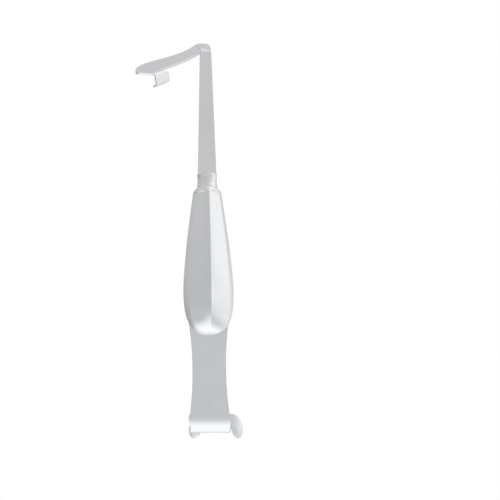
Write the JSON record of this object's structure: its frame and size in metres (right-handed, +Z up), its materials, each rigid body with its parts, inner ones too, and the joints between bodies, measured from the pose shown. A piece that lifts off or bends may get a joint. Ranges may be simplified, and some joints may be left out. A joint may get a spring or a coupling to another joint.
{
  "type": "cheek retractor",
  "caption": "Double-ended hand-held cheek retractor: an angled spatula arm with a clip above a hollow drop-shaped grip, and a waisted blade with a hooked, two-lobed toe below it.",
  "frame": {"origin": "centre of the grip on the plane where its two shells meet", "axes": "+Z up the shaft towards the angled arm, +X to the side away from the arm, -Y out of the ridge of the front shell"},
  "size_m": [0.0622, 0.0474, 0.211],
  "materials": {
    "blade_steel": "fine satin, slightly blasted",
    "grip_steel": "fine satin",
    "rivet_steel": "plain drawn wire"
  },
  "bodies": {
    "root": {"upper_blade": "blade_steel", "arm_clip": "blade_steel", "neck_collar": "grip_steel", "handle_front_shell": "grip_steel", "handle_back_shell": "grip_steel", "tang_rivets": "rivet_steel", "lower_blade": "blade_steel", "toe_fork": "blade_steel"}
  },
  "joints": []
}
